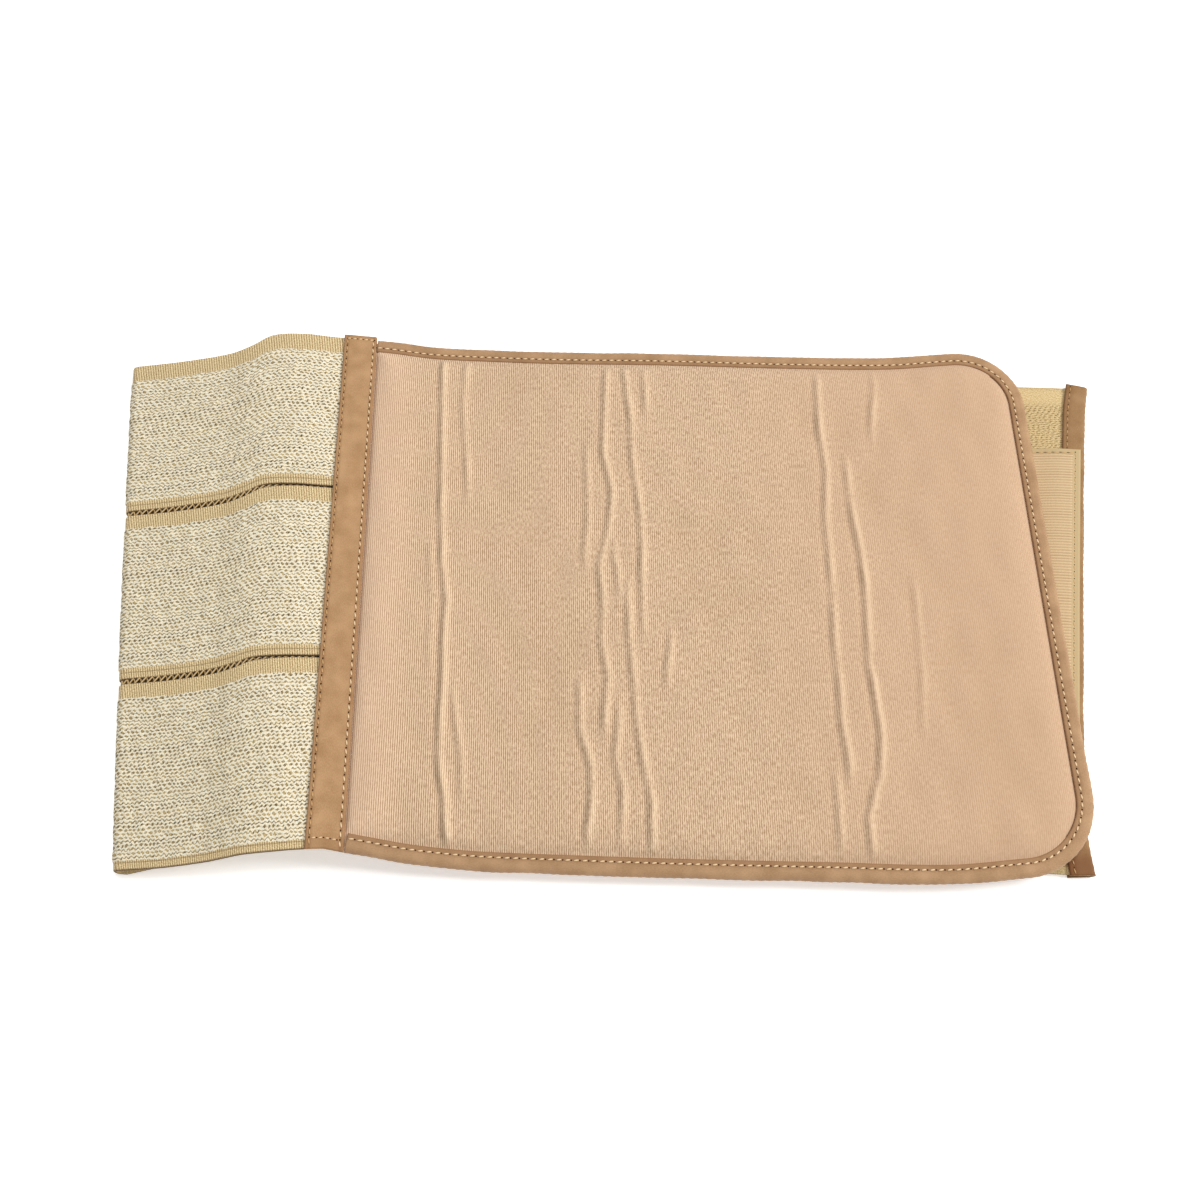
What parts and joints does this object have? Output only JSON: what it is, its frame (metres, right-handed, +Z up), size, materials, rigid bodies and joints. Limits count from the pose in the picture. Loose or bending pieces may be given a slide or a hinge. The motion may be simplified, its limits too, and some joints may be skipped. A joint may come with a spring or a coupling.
{
  "type": "elastic abdominal binder",
  "caption": "Elastic abdominal binder folded flat: laced knitted elastic bands run from a padded panel, fold under it and end in a bound edge with a hook fastener.",
  "frame": {"origin": "middle of the folded binder's outline, on the surface that it lies on", "axes": "+X along the binder towards the free end of its bands, +Y across the binder, +Z up from the surface"},
  "size_m": [0.446, 0.2526, 0.0197],
  "materials": {
    "foam_laminate": "finely ribbed brushed knit on foam, matte",
    "binding_tape": "folded tan tape, satin matte, sewn with pale thread",
    "strip_tape": "woven tan tape, satin matte, sewn with pale thread",
    "knitted_elastic": "coarse knitted elastic with flat selvedges, matte",
    "hook_fastener": "rows of fine moulded hooks, matte"
  },
  "bodies": {
    "root": {"foam_panel": "foam_laminate", "panel_edge_binding": "binding_tape", "cross_strip": "strip_tape", "elastic_band_front": "knitted_elastic", "elastic_band_middle": "knitted_elastic", "elastic_band_back": "knitted_elastic", "end_binding": "binding_tape", "hook_tab": "hook_fastener"}
  },
  "joints": []
}
